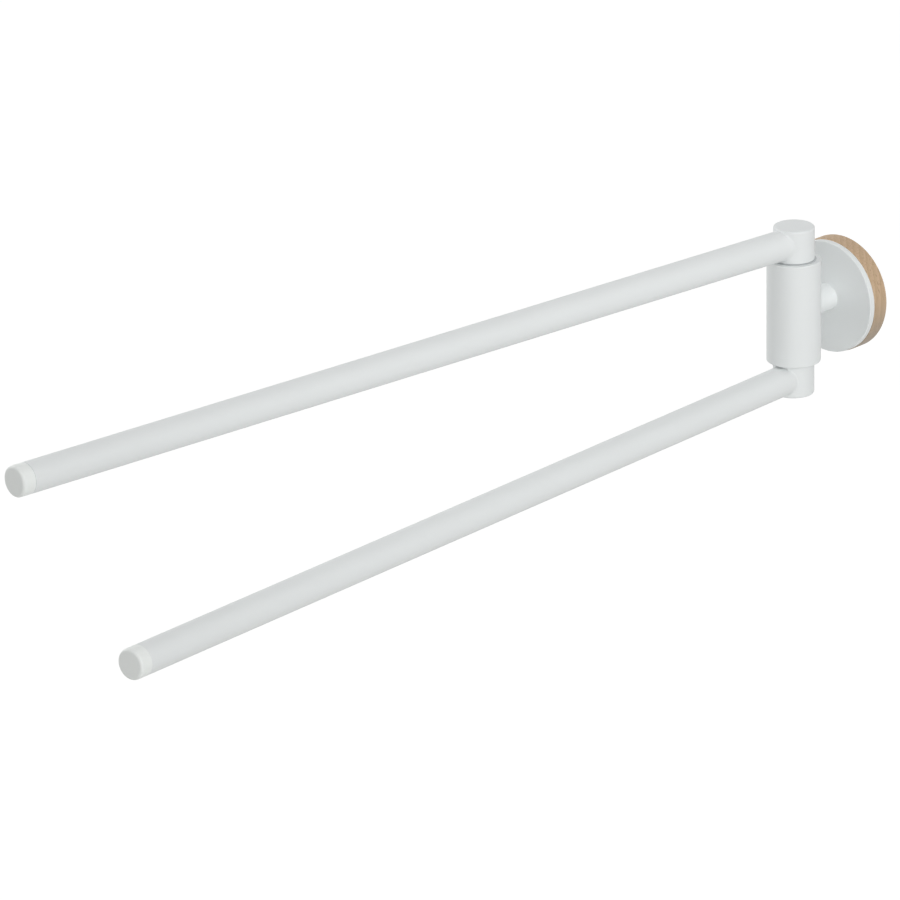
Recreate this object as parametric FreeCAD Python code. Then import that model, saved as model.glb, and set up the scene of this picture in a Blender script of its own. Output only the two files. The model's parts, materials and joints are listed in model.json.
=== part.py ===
import FreeCAD, Part

import math
import os

# A wall-mounted towel holder: two round arms swing about one upright pivot bolt.
# The wall is the plane Y = 0 and the room is towards -Y. X runs along the wall and Z is up.
# The origin is the centre of the round mount on the wall. Lengths are in millimetres.

# Arms
TUBE_D = 13.0
TUBE_WALL = 1.0
ARM_REACH = 419.4          # pivot axis to the end of the cap
UPPER_ANGLE = -5.6         # degrees from the wall's normal, positive towards +X
LOWER_ANGLE = 3.0
CAP_L = 6.1                # what shows of the cap
CAP_EDGE = 1.3             # rounding round the cap's end face
PLUG_L = 10.0              # the cap's plug inside the tube
SEAM = 0.25                # bevel on either side of the seam between tube and cap
SPIGOT_L = 16.0            # the knuckle's spigot inside the tube
LEAD = 0.8                 # bevel on the leading edge of what is pushed or screwed in

# Knuckles
KNUCKLE_SIDE = 2.25        # how far the knuckle stands out past the tube on each side
KNUCKLE_LIP = 0.65         # how far it stands out above and below the tube
KNUCKLE_EDGE = 0.2         # rounding of the end at the barrel
KNUCKLE_END_EDGE = 0.9     # rounding of the far end

# Barrel and its bushes
BARREL_D = 23.0
BARREL_H = 44.9
BARREL_EDGE = 0.4
BUSH_L = 12.0              # from the barrel's end
BUSH_WALL = 2.42
FLANGE_LAND = 2.1          # width of the barrel's end round the bush's flange
FLANGE_SEAT = 0.6          # how deep the flange lies in the barrel's end
PIVOT_GAP = 0.25           # barrel to knuckle, filled by the flange

# Pivot bolt and the stack under its head
SHANK_D = 8.0
BOLT_SHOULDER = 1.0        # step from the shank to the thread
THREAD_L = 7.5
THREAD_ROOM = 0.8          # a tapped hole is this much deeper than its screw
HEAD_LIP = 2.0             # how far the head reaches past the shank
HEAD_H = 4.2
HEAD_EDGE = 0.5
HEAD_ROOM = 0.5            # room round the head in its pocket
HEAD_RECESS = 0.9          # how deep the head lies inside the lower knuckle
BOLT_SOCKET = 5.0          # hexagon across its flats
BOLT_SOCKET_DEPTH = 2.5
HEAD_WASHER_T = 0.8
DISC_T = 0.7
DISC_CONE = 0.5            # how far the disc spring is dished
FRICTION_T = 0.8
WASHER_ROOM = 0.2          # room between a washer's hole and what runs through it

# Neck post between the rosette and the barrel
NECK_D = 11.4
NECK_L = 9.7               # what shows between the rosette and the barrel
NECK_TENON_SHOULDER = 1.7  # step from the post to its round tenon in the barrel
SQUARE_SHOULDER = 0.75     # step from the post to the corners of its square tenon in the rosette
TENON_BACK = 0.3           # how far the tenons stay short of the far side
NECK_SCREW_D = 5.0
NECK_THREAD_L = 6.0        # screw thread inside the post, past the rosette
NECK_HEAD_D = 9.5
NECK_HEAD_H = 3.0
NECK_HEAD_EDGE = 0.9
NECK_SOCKET = 3.0
NECK_SOCKET_DEPTH = 1.8
NECK_WASHER_T = 1.0
NECK_WASHER_LIP = 1.05     # how far the washer reaches past the square's corners

# Rosette and wooden ring
ROSETTE_D = 48.4
ROSETTE_T = 2.7
ROSETTE_EDGE = 0.4
SKIRT_WALL = 3.0
SKIRT_BACK = 0.5           # the skirt stays this far off the wall
WOOD_PROUD = 0.3           # how far the ring stands out past the rosette
WOOD_WALL = 4.45
WOOD_T = 7.6
WOOD_EDGE = 0.4

# Wall plate and the screw that locks the rosette to it
PLATE_GAP = 0.12           # plate to skirt
PLATE_FRONT_GAP = 1.5      # plate to the rosette's back
PLATE_RIM = 3.5            # radial width of the plate's rim
WEB_FRONT_GAP = 0.6        # plate's web to the neck screw's head
WALL_SCREW_D = 4.6         # clearance hole for the wall screw
WALL_HEAD_D = 8.4          # countersink for its head
WALL_HEAD_ROOM = 0.2       # countersink to the plate's rim
GROOVE = 1.2               # depth and half width of the groove round the plate
GROOVE_LIP = 1.6           # groove to the front of the plate's rim
SET_SCREW_D = 4.0
SET_SCREW_BACK = 0.2       # the set screw lies this deep in the skirt
SET_SOCKET = 2.0
SET_SOCKET_DEPTH = 1.6
KEY_ROOM = 0.3             # how far the hole for the key reaches past the set screw

# Clearances
FIT = 0.03                 # radial, pieces pushed or screwed together
RUN = 0.05                 # radial, pieces that turn in one another
PLAY = 0.05                # along the pivot, pieces that turn on one another

# Sizes that follow
TUBE_R = TUBE_D / 2
TUBE_BORE_R = TUBE_R - TUBE_WALL
KNUCKLE_R = TUBE_R + KNUCKLE_SIDE
KNUCKLE_H = TUBE_D + 2 * KNUCKLE_LIP
BARREL_R = BARREL_D / 2
BUSH_BORE_R = SHANK_D / 2 + RUN
BUSH_R = BUSH_BORE_R + BUSH_WALL
BARREL_BORE_R = BUSH_R + FIT
FLANGE_R = BARREL_R - FLANGE_LAND
FLANGE_Z = BARREL_H / 2 - FLANGE_SEAT     # seat of a flange
KNUCKLE_Z = BARREL_H / 2 + PIVOT_GAP      # inner end of a knuckle
ARM_Z = KNUCKLE_Z + KNUCKLE_H / 2         # axis of an arm
HEAD_R = SHANK_D / 2 + HEAD_LIP
THREAD_R = SHANK_D / 2 - BOLT_SHOULDER
POCKET_R = HEAD_R + HEAD_ROOM
HEAD_Z = KNUCKLE_Z + KNUCKLE_H - HEAD_RECESS - HEAD_H
HEAD_WASHER_Z = HEAD_Z - HEAD_WASHER_T
DISC_Z = HEAD_WASHER_Z - DISC_T - DISC_CONE
FRICTION_Z = DISC_Z - PLAY - FRICTION_T   # floor of the pocket
WASHER_BORE_R = SHANK_D / 2 + WASHER_ROOM

ROSETTE_R = ROSETTE_D / 2
ROSETTE_FRONT = WOOD_T + ROSETTE_T
AXIS_Y = -(ROSETTE_FRONT + NECK_L + BARREL_R)
WOOD_R = ROSETTE_R + WOOD_PROUD
WOOD_BORE_R = WOOD_R - WOOD_WALL
SKIRT_R = WOOD_BORE_R - FIT
SKIRT_BORE_R = SKIRT_R - SKIRT_WALL
PLATE_R = SKIRT_BORE_R - PLATE_GAP
PLATE_T = WOOD_T - PLATE_FRONT_GAP
SET_SCREW_HEIGHT = PLATE_T - GROOVE_LIP - GROOVE   # from the wall to the set screw's axis
RECESS_R = PLATE_R - PLATE_RIM
WEB_T = WOOD_T - NECK_WASHER_T - NECK_HEAD_H - WEB_FRONT_GAP
WALL_SCREW_X = RECESS_R - WALL_HEAD_ROOM - WALL_HEAD_D / 2

NECK_R = NECK_D / 2
SQUARE = (NECK_D - 2 * SQUARE_SHOULDER) / math.sqrt(2)
NECK_WASHER_R = NECK_R - SQUARE_SHOULDER + NECK_WASHER_LIP

Vector = FreeCAD.Vector
ORIGIN = Vector(0, 0, 0)
X_AXIS = Vector(1, 0, 0)
Z_AXIS = Vector(0, 0, 1)


def rounded_outline(corners):
    """Closed outline in the XZ plane through (radius, height) or (radius, height, rounding) corners."""
    points = [Vector(radius, 0, height) for radius, height, *rounding in corners]
    stops = []
    for index, corner in enumerate(corners):
        point = points[index]
        rounding = corner[2] if len(corner) > 2 else 0
        if not rounding:
            stops.append((point, None, point))
            continue
        back = (points[index - 1] - point).normalize()
        ahead = (points[(index + 1) % len(points)] - point).normalize()
        half_turn = back.getAngle(ahead) / 2
        setback = rounding / math.tan(half_turn)
        inward = (back + ahead).normalize()
        middle = point + inward * (rounding / math.sin(half_turn) - rounding)
        stops.append((point + back * setback, middle, point + ahead * setback))
    edges = []
    for index, (entry, middle, leave) in enumerate(stops):
        edges.append(Part.makeLine(stops[index - 1][2], entry))
        if middle:
            edges.append(Part.Arc(entry, middle, leave).toShape())
    return Part.Wire(edges)


def turned(corners):
    """Solid of revolution about Z."""
    return Part.Face(rounded_outline(corners)).revolve(ORIGIN, Z_AXIS, 360)


def rod(radius, low, high):
    """Plain cylinder about Z between two heights."""
    return Part.makeCylinder(radius, high - low, Vector(0, 0, low))


def ring(bore, radius, thickness):
    """Flat washer about Z, standing on Z = 0."""
    return rod(radius, 0, thickness).cut(rod(bore, 0, thickness))


def hexagon(across_flats, depth):
    """Hexagonal prism about Z, standing on Z = 0."""
    corner_r = across_flats / math.sqrt(3)
    turns = [math.radians(60 * side) for side in range(7)]
    outline = Part.makePolygon([Vector(corner_r * math.cos(t), corner_r * math.sin(t), 0) for t in turns])
    return Part.Face(outline).extrude(Vector(0, 0, depth))


def raised(shape, height):
    """Shape moved up along Z."""
    return shape.translated(Vector(0, 0, height))


def upside_down(shape):
    """Shape turned over about X, so that its top points down."""
    return shape.rotated(ORIGIN, X_AXIS, 180)


def out_from_wall(shape):
    """Shape drawn about Z, turned so that its height runs from the wall into the room."""
    return shape.rotated(ORIGIN, X_AXIS, 90)


def on_pivot(shape, angle=0):
    """Shape drawn about the pivot as Z, swung by an angle and set on the pivot's axis."""
    return shape.rotated(ORIGIN, Z_AXIS, angle).translated(Vector(0, AXIS_Y, 0))


def at_set_screw(shape):
    """Shape drawn about Z, moved out from the wall to the set screw's axis."""
    return shape.translated(Vector(0, -SET_SCREW_HEIGHT, 0))


def wall_plate():
    """Cup with a web for two wall screws, and a groove round its rim for the set screw."""
    shape = turned([
        (0, 0),
        (PLATE_R, 0),
        (PLATE_R, SET_SCREW_HEIGHT - GROOVE),
        (PLATE_R - GROOVE, SET_SCREW_HEIGHT),
        (PLATE_R, SET_SCREW_HEIGHT + GROOVE),
        (PLATE_R, PLATE_T),
        (RECESS_R, PLATE_T),
        (RECESS_R, WEB_T),
        (0, WEB_T),
    ])
    sink = (WALL_HEAD_D - WALL_SCREW_D) / 2
    hole = turned([
        (0, 0),
        (WALL_SCREW_D / 2, 0),
        (WALL_SCREW_D / 2, WEB_T - sink),
        (WALL_HEAD_D / 2, WEB_T),
        (0, WEB_T),
    ])
    for side in (-1, 1):
        shape = shape.cut(hole.translated(Vector(side * WALL_SCREW_X, 0, 0)))
    return out_from_wall(shape)


def wood_ring():
    """Turned ring with a hole from below for the set screw's key."""
    shape = out_from_wall(turned([
        (WOOD_BORE_R, 0),
        (WOOD_R, 0, WOOD_EDGE),
        (WOOD_R, WOOD_T, WOOD_EDGE),
        (WOOD_BORE_R, WOOD_T),
    ]))
    key_hole = rod(SET_SCREW_D / 2 + KEY_ROOM, -WOOD_R, 0)
    return shape.cut(at_set_screw(key_hole))


def rosette():
    """Round cover with a skirt behind it, a square hole for the neck and a thread for the set screw."""
    shape = turned([
        (SKIRT_BORE_R, SKIRT_BACK),
        (SKIRT_R, SKIRT_BACK),
        (SKIRT_R, WOOD_T),
        (ROSETTE_R, WOOD_T),
        (ROSETTE_R, ROSETTE_FRONT, ROSETTE_EDGE),
        (0, ROSETTE_FRONT),
        (0, WOOD_T),
        (SKIRT_BORE_R, WOOD_T),
    ])
    side = SQUARE + 2 * FIT
    square_hole = Part.makeBox(side, side, ROSETTE_T, Vector(-side / 2, -side / 2, WOOD_T))
    shape = out_from_wall(shape.cut(square_hole))
    return shape.cut(at_set_screw(rod(SET_SCREW_D / 2 + FIT, -SKIRT_R, 0)))


def rosette_set_screw():
    """Cone-point set screw, pointing up into the plate's groove."""
    tip = PLATE_R - GROOVE + FIT
    end = SKIRT_R - SET_SCREW_BACK
    shape = turned([
        (0, tip),
        (SET_SCREW_D / 2, tip + SET_SCREW_D / 2),
        (SET_SCREW_D / 2, end),
        (0, end),
    ])
    socket = raised(hexagon(SET_SOCKET, SET_SOCKET_DEPTH), end - SET_SOCKET_DEPTH)
    return at_set_screw(upside_down(shape.cut(socket)))


def neck_post():
    """Round post with a square tenon in the rosette and a round one in the barrel."""
    post = out_from_wall(rod(NECK_R, ROSETTE_FRONT, -AXIS_Y))
    post = post.cut(on_pivot(rod(BARREL_R + FIT, -NECK_D, NECK_D)))
    tenon_end = -AXIS_Y - BARREL_BORE_R - TENON_BACK
    tenon = rod(NECK_R - NECK_TENON_SHOULDER, ROSETTE_FRONT, tenon_end)
    foot = ROSETTE_T - TENON_BACK
    square = Part.makeBox(SQUARE, SQUARE, foot, Vector(-SQUARE / 2, -SQUARE / 2, ROSETTE_FRONT - foot))
    post = post.fuse(out_from_wall(tenon)).fuse(out_from_wall(square)).removeSplitter()
    hole_end = ROSETTE_FRONT + NECK_THREAD_L + THREAD_ROOM
    return post.cut(out_from_wall(rod(NECK_SCREW_D / 2 + FIT, WOOD_T, hole_end)))


def neck_screw():
    """Pan-head screw from behind the rosette into the neck post."""
    seat = WOOD_T - NECK_WASHER_T
    end = ROSETTE_FRONT + NECK_THREAD_L
    shape = turned([
        (0, seat - NECK_HEAD_H),
        (NECK_HEAD_D / 2, seat - NECK_HEAD_H, NECK_HEAD_EDGE),
        (NECK_HEAD_D / 2, seat),
        (NECK_SCREW_D / 2, seat),
        (NECK_SCREW_D / 2, end - LEAD),
        (NECK_SCREW_D / 2 - LEAD, end),
        (0, end),
    ])
    socket = raised(hexagon(NECK_SOCKET, NECK_SOCKET_DEPTH), seat - NECK_HEAD_H)
    return out_from_wall(shape.cut(socket))


def neck_washer():
    """Washer that bridges the rosette's square hole."""
    washer = ring(NECK_SCREW_D / 2 + WASHER_ROOM, NECK_WASHER_R, NECK_WASHER_T)
    return out_from_wall(raised(washer, WOOD_T - NECK_WASHER_T))


def pivot_barrel():
    """Upright sleeve with a seat for a flange at each end and a socket for the neck's tenon."""
    seat_r = FLANGE_R + FIT
    barrel = on_pivot(turned([
        (BARREL_BORE_R, -FLANGE_Z),
        (seat_r, -FLANGE_Z),
        (seat_r, -BARREL_H / 2),
        (BARREL_R, -BARREL_H / 2, BARREL_EDGE),
        (BARREL_R, BARREL_H / 2, BARREL_EDGE),
        (seat_r, BARREL_H / 2),
        (seat_r, FLANGE_Z),
        (BARREL_BORE_R, FLANGE_Z),
    ]))
    socket = rod(NECK_R - NECK_TENON_SHOULDER + FIT, ROSETTE_FRONT, -AXIS_Y)
    return barrel.cut(out_from_wall(socket))


def bush():
    """Flanged bush, upright, as it sits in the barrel's upper end."""
    bottom = BARREL_H / 2 - BUSH_L
    top = KNUCKLE_Z - PLAY
    return turned([
        (BUSH_BORE_R, bottom),
        (BUSH_R, bottom),
        (BUSH_R, FLANGE_Z),
        (FLANGE_R, FLANGE_Z),
        (FLANGE_R, top),
        (BUSH_BORE_R, top),
    ])


def along_arm(shape):
    """Shape drawn about Z, turned so that its height runs out along an upper arm at zero angle."""
    return raised(out_from_wall(shape), ARM_Z)


def on_upper_arm(shape):
    """Shape drawn for an upper arm at zero angle, as it sits on the pivot."""
    return on_pivot(shape, UPPER_ANGLE)


def on_lower_arm(shape):
    """Shape drawn for an upper arm at zero angle, as its mirror image sits on the lower arm."""
    return on_pivot(shape.mirror(ORIGIN, Z_AXIS), LOWER_ANGLE)


def knuckle():
    """Solid round head with a spigot for the tube, upright, as it sits on the barrel."""
    head = turned([
        (0, KNUCKLE_Z),
        (KNUCKLE_R, KNUCKLE_Z, KNUCKLE_EDGE),
        (KNUCKLE_R, KNUCKLE_Z + KNUCKLE_H, KNUCKLE_END_EDGE),
        (0, KNUCKLE_Z + KNUCKLE_H),
    ])
    spigot_r = TUBE_BORE_R - FIT
    spigot_end = KNUCKLE_R + SPIGOT_L
    spigot = along_arm(turned([
        (0, 0),
        (spigot_r, 0),
        (spigot_r, spigot_end - LEAD),
        (spigot_r - LEAD, spigot_end),
        (0, spigot_end),
    ]))
    return head.fuse(spigot).removeSplitter()


def upper_knuckle():
    """Knuckle with a blind thread for the pivot bolt."""
    thread = rod(THREAD_R + FIT, KNUCKLE_Z, KNUCKLE_Z + THREAD_L + THREAD_ROOM)
    return on_upper_arm(knuckle().cut(thread))


def lower_knuckle():
    """Knuckle with a bore for the pivot bolt and a pocket for its head."""
    bore = rod(BUSH_BORE_R, KNUCKLE_Z, KNUCKLE_Z + KNUCKLE_H)
    pocket = rod(POCKET_R, FRICTION_Z, KNUCKLE_Z + KNUCKLE_H)
    return on_lower_arm(knuckle().cut(bore).cut(pocket))


def arm_tube():
    """Tube whose near end is cut to the knuckle's curve, along an upper arm at zero angle."""
    end = ARM_REACH - CAP_L
    tube = along_arm(turned([
        (TUBE_BORE_R, 0),
        (TUBE_R, 0),
        (TUBE_R, end - SEAM),
        (TUBE_R - SEAM, end),
        (TUBE_BORE_R, end),
    ]))
    return tube.cut(rod(KNUCKLE_R + FIT, KNUCKLE_Z, KNUCKLE_Z + KNUCKLE_H))


def end_cap():
    """Cap with a plug for the tube, along an upper arm at zero angle."""
    seam = ARM_REACH - CAP_L
    plug_r = TUBE_BORE_R - FIT
    return along_arm(turned([
        (0, seam - PLUG_L),
        (plug_r - LEAD, seam - PLUG_L),
        (plug_r, seam - PLUG_L + LEAD),
        (plug_r, seam),
        (TUBE_R - SEAM, seam),
        (TUBE_R, seam + SEAM),
        (TUBE_R, ARM_REACH, CAP_EDGE),
        (0, ARM_REACH),
    ]))


def pivot_bolt():
    """Shoulder bolt, head down, through the lower knuckle and the bushes into the upper knuckle."""
    head_end = HEAD_Z + HEAD_H
    thread_end = KNUCKLE_Z + THREAD_L
    shape = turned([
        (0, -head_end),
        (HEAD_R, -head_end, HEAD_EDGE),
        (HEAD_R, -HEAD_Z),
        (SHANK_D / 2, -HEAD_Z),
        (SHANK_D / 2, KNUCKLE_Z),
        (THREAD_R, KNUCKLE_Z),
        (THREAD_R, thread_end - LEAD),
        (THREAD_R - LEAD, thread_end),
        (0, thread_end),
    ])
    socket = raised(hexagon(BOLT_SOCKET, BOLT_SOCKET_DEPTH), -head_end)
    return on_upper_arm(shape.cut(socket))


def head_washer():
    """Flat washer on the bolt's head."""
    return on_pivot(raised(ring(WASHER_BORE_R, HEAD_R, HEAD_WASHER_T), -HEAD_Z))


def disc_spring():
    """Dished spring washer, its rim towards the friction washer."""
    return on_pivot(raised(turned([
        (WASHER_BORE_R, 0),
        (HEAD_R, DISC_CONE),
        (HEAD_R, DISC_CONE + DISC_T),
        (WASHER_BORE_R, DISC_T),
    ]), -HEAD_WASHER_Z))


def friction_washer():
    """Plastic washer on the floor of the lower knuckle's pocket."""
    return on_pivot(raised(ring(WASHER_BORE_R, HEAD_R, FRICTION_T), -FRICTION_Z - FRICTION_T))


pieces = {
    "wall_plate": wall_plate(),
    "wood_ring": wood_ring(),
    "rosette": rosette(),
    "rosette_set_screw": rosette_set_screw(),
    "neck_post": neck_post(),
    "neck_screw": neck_screw(),
    "neck_washer": neck_washer(),
    "pivot_barrel": pivot_barrel(),
    "upper_bush": on_pivot(bush()),
    "lower_bush": on_pivot(upside_down(bush())),
    "upper_knuckle": upper_knuckle(),
    "upper_arm_tube": on_upper_arm(arm_tube()),
    "upper_end_cap": on_upper_arm(end_cap()),
    "lower_knuckle": lower_knuckle(),
    "lower_arm_tube": on_lower_arm(arm_tube()),
    "lower_end_cap": on_lower_arm(end_cap()),
    "pivot_bolt": pivot_bolt(),
    "head_washer": head_washer(),
    "disc_spring": disc_spring(),
    "friction_washer": friction_washer(),
}

os.makedirs("parts", exist_ok=True)
for name, shape in pieces.items():
    shape.exportStep(os.path.join("parts", name + ".step"))
    print(name, round(shape.Volume, 1), "mm3", "valid" if shape.isValid() else "not valid")
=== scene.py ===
"""Looks of a two-arm towel holder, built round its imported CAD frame.

The wall is the plane Y = 0, the room lies towards -Y, X runs along the wall and Z is up. Lengths are
metres, as Blender's are, and a size is written in millimetres times MM. A piece's own coordinates are
the frame's at rest, so each pattern is laid out in real sizes and stays on its piece when an arm swings.
"""

import json
import logging
import math
from collections.abc import Callable, Iterator, Sequence
from dataclasses import dataclass, field
from enum import Enum
from typing import Any

import bmesh
import bpy
from mathutils import Matrix, Vector

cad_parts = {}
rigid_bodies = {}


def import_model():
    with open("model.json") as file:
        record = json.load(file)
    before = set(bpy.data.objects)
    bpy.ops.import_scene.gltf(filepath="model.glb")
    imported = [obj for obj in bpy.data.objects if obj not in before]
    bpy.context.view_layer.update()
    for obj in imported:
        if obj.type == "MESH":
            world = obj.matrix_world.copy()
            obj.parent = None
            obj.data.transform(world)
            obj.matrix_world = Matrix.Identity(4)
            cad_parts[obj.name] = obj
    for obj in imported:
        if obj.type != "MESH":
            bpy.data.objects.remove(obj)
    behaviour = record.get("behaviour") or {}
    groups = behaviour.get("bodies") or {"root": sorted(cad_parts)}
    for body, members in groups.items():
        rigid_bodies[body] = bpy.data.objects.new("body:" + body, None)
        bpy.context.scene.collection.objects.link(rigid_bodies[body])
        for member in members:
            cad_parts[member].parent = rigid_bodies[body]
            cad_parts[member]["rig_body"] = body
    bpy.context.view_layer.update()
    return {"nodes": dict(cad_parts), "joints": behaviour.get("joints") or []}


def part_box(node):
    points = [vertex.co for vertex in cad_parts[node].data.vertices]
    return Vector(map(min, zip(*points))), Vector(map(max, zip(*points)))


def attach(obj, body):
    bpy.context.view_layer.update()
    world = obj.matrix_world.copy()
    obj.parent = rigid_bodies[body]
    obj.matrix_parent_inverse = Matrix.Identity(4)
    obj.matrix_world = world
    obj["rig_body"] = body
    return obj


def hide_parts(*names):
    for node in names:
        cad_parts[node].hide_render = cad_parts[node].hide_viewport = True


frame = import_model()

MM = 0.001
ROUND_STEPS = 128            # points round a turned piece
ARC_STEPS = 6                # faces along a rounded edge
SHARP = math.radians(40)     # edges that turn further stay crisp
SINK = 0.02 * MM             # how far a coated joint reaches into what it meets
MEAN_REACH = 0.383           # mean distance from a square's middle to its points, over its side
WAVE_RADIANS = 20            # how far Blender's wave texture turns in one unit at a scale of 1
UP = Vector((0, 0, 1))
ROOMWARDS = Vector((0, -1, 0))
PIVOT = Vector(frame["joints"][0]["pos_m"])    # middle of the barrel, on the axis of both arms

# Sockets of Blender's Mix node when it mixes colours
MIX_FACTOR = 0
MIX_A = 6
MIX_B = 7
MIX_RESULT = 2

Ring = list[Vector]
Corner = tuple[float, float, float]    # radius, height and rounding of a corner in an outline
log = logging.getLogger("towel_holder")


class Body(Enum):
    """Bodies of the frame that the pieces ride on."""

    WALL_MOUNT = "wall_mount"
    UPPER_ARM = "upper_arm"
    LOWER_ARM = "lower_arm"


def hex_to_linear(code: str) -> tuple[float, float, float, float]:
    """Turns an sRGB hex colour into linear light.

    Args:
        code: colour such as "#C8A57D".

    Returns:
        Linear red, green, blue and an alpha of 1.
    """
    shares = [int(code[start:start + 2], 16) / 255 for start in (1, 3, 5)]
    # The curve of the sRGB standard: straight near black, then a power
    linear = [s / 12.92 if s <= 0.04045 else ((s + 0.055) / 1.055) ** 2.4 for s in shares]
    return (*linear, 1.0)


def per_metre(size: float) -> float:
    """Scale of a texture whose features are this large, in metres."""
    return 1 / size


def add_node(tree: bpy.types.NodeTree, kind: str, inputs: dict[str | int, Any] | None = None,
             **settings: Any) -> bpy.types.Node:
    """Adds one shader node with its settings and links.

    Args:
        tree: node tree of a material or of the world.
        kind: type of the node without Blender's ShaderNode in front, such as TexNoise.
        inputs: input sockets by name or number, each with a constant or with the output socket
            that feeds it.
        **settings: the node's own options.

    Returns:
        The new node.
    """
    node = tree.nodes.new("ShaderNode" + kind)
    for name, value in settings.items():
        setattr(node, name, value)
    for socket, value in (inputs or {}).items():
        if isinstance(value, bpy.types.NodeSocket):
            tree.links.new(value, node.inputs[socket])
        else:
            node.inputs[socket].default_value = value
    return node


def span(node: str, start: Vector, along: Vector) -> tuple[float, float]:
    """Measures a CAD node along a direction.

    Args:
        node: name of the CAD node.
        start: point that the distances count from.
        along: unit vector to measure along.

    Returns:
        Nearest and farthest distance of the node's points.
    """
    reaches = [(vertex.co - start).dot(along) for vertex in frame["nodes"][node].data.vertices]
    return min(reaches), max(reaches)


def axes_along(start: Vector, along: Vector) -> Matrix:
    """Axes for a piece that lies level.

    Args:
        start: origin of the new axes.
        along: level unit vector that becomes the piece's own Z.

    Returns:
        Matrix from (across, up, along) to the frame.
    """
    across = UP.cross(along)
    return Matrix.Translation(start) @ Matrix((across, UP, along)).transposed().to_4x4()


def turns() -> Iterator[float]:
    """Angles round a turned piece."""
    return (math.tau * step / ROUND_STEPS for step in range(ROUND_STEPS))


def rounded_outline(corners: Sequence[Corner], closed: bool) -> list[tuple[float, float]]:
    """Draws an outline with rounded corners.

    Args:
        corners: (radius, height, rounding) of each corner in turn.
        closed: whether the last corner joins the first.

    Returns:
        (radius, height) of each point, with arcs at the rounded corners.
    """
    points = [Vector(corner[:2]) for corner in corners]
    outline = []
    for index, (point, (_, _, rounding)) in enumerate(zip(points, corners)):
        at_end = not closed and index in (0, len(points) - 1)
        if at_end or not rounding:
            outline.append(tuple(point))
            continue
        back = (points[index - 1] - point).normalized()
        ahead = (points[(index + 1) % len(points)] - point).normalized()
        half_turn = back.angle(ahead) / 2
        centre = point + (back + ahead).normalized() * (rounding / math.sin(half_turn))
        first = (point + back * (rounding / math.tan(half_turn)) - centre).normalized()
        last = (point + ahead * (rounding / math.tan(half_turn)) - centre).normalized()
        sweep = first.angle_signed(last)
        for step in range(ARC_STEPS + 1):
            spoke = Matrix.Rotation(-sweep * step / ARC_STEPS, 2) @ first
            outline.append(tuple(centre + spoke * rounding))
    return outline


def ring_at(place: Matrix, radius: float, height: Callable[[float], float] | float) -> Ring:
    """Lays one ring of points round an axis.

    Args:
        place: matrix from the axis, which is Z, to the frame.
        radius: radius of the ring; with none, the ring is one point.
        height: place along the axis, the same all round or worked out from the angle.

    Returns:
        The ring's points.
    """
    if not radius:
        return [place @ Vector((0, 0, height))]
    heights = height if callable(height) else lambda turn: height
    points = ((radius * math.sin(turn), radius * math.cos(turn), heights(turn)) for turn in turns())
    return [place @ Vector(point) for point in points]


def turned_rings(corners: Sequence[Corner], place: Matrix, closed: bool = False) -> list[Ring]:
    """Turns an outline about an axis.

    Args:
        corners: (radius, height, rounding) of each corner in turn.
        place: matrix from the axis, which is Z, to the frame.
        closed: whether the outline comes back to its start, as on a ring.

    Returns:
        One ring for each point of the outline.
    """
    return [ring_at(place, radius, height) for radius, height in rounded_outline(corners, closed)]


def saddle(radius: float, post: float) -> Callable[[float], float]:
    """Line on which a round tube meets an upright post.

    Args:
        radius: radius of the tube.
        post: radius of the post.

    Returns:
        Function from an angle round the tube, 0 at its top, to the distance from the post's axis.
    """
    return lambda turn: math.sqrt(post ** 2 - (radius * math.sin(turn)) ** 2)


def bead_rings(place: Matrix, radius: float, post: float, side: float, top: float) -> list[Ring]:
    """Rolls a small ball round the corner between a tube and a post, which draws the fillet there.

    Args:
        place: matrix from (across, up, along the tube) to the frame, from the post's axis.
        radius: radius of the tube.
        post: radius of the post.
        side: radius of the ball beside the tube.
        top: radius of the ball above and below the tube.

    Returns:
        Rings from the post to the tube.
    """
    rings = [[] for _ in range(ARC_STEPS + 1)]
    for turn in turns():
        ball = top + (side - top) * math.sin(turn) ** 2
        outwards = Vector((math.sin(turn), math.cos(turn), 0))
        centre = outwards * (radius + ball)
        centre.z = math.sqrt((post + ball) ** 2 - centre.x ** 2)
        to_post = Vector((-centre.x, 0, -centre.z)).normalized()
        for step, ring in enumerate(rings):
            ring.append(place @ (centre + to_post.slerp(-outwards, step / ARC_STEPS) * ball))
    return rings


def skin(name: str, rings: Sequence[Ring], closed: bool = False) -> bpy.types.Object:
    """Joins neighbouring rings into one smooth mesh.

    Args:
        name: name of the piece.
        rings: rings of equally many points; a ring of one point is a tip.
        closed: whether the last ring joins the first.

    Returns:
        The new piece, in the scene.
    """
    shell = bmesh.new()
    rows = [[shell.verts.new(point) for point in ring] for ring in rings]
    pairs = list(zip(rows, rows[1:] + rows[:1]))
    for near, far in pairs if closed else pairs[:-1]:
        for step in range(max(len(near), len(far))):
            here, beyond = step, step + 1
            corners = (near[here % len(near)], near[beyond % len(near)],
                       far[beyond % len(far)], far[here % len(far)])
            shell.faces.new(dict.fromkeys(corners))
    bmesh.ops.recalc_face_normals(shell, faces=shell.faces)
    mesh = bpy.data.meshes.new(name)
    shell.to_mesh(mesh)
    shell.free()
    piece = bpy.data.objects.new(name, mesh)
    bpy.context.scene.collection.objects.link(piece)
    return piece


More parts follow.
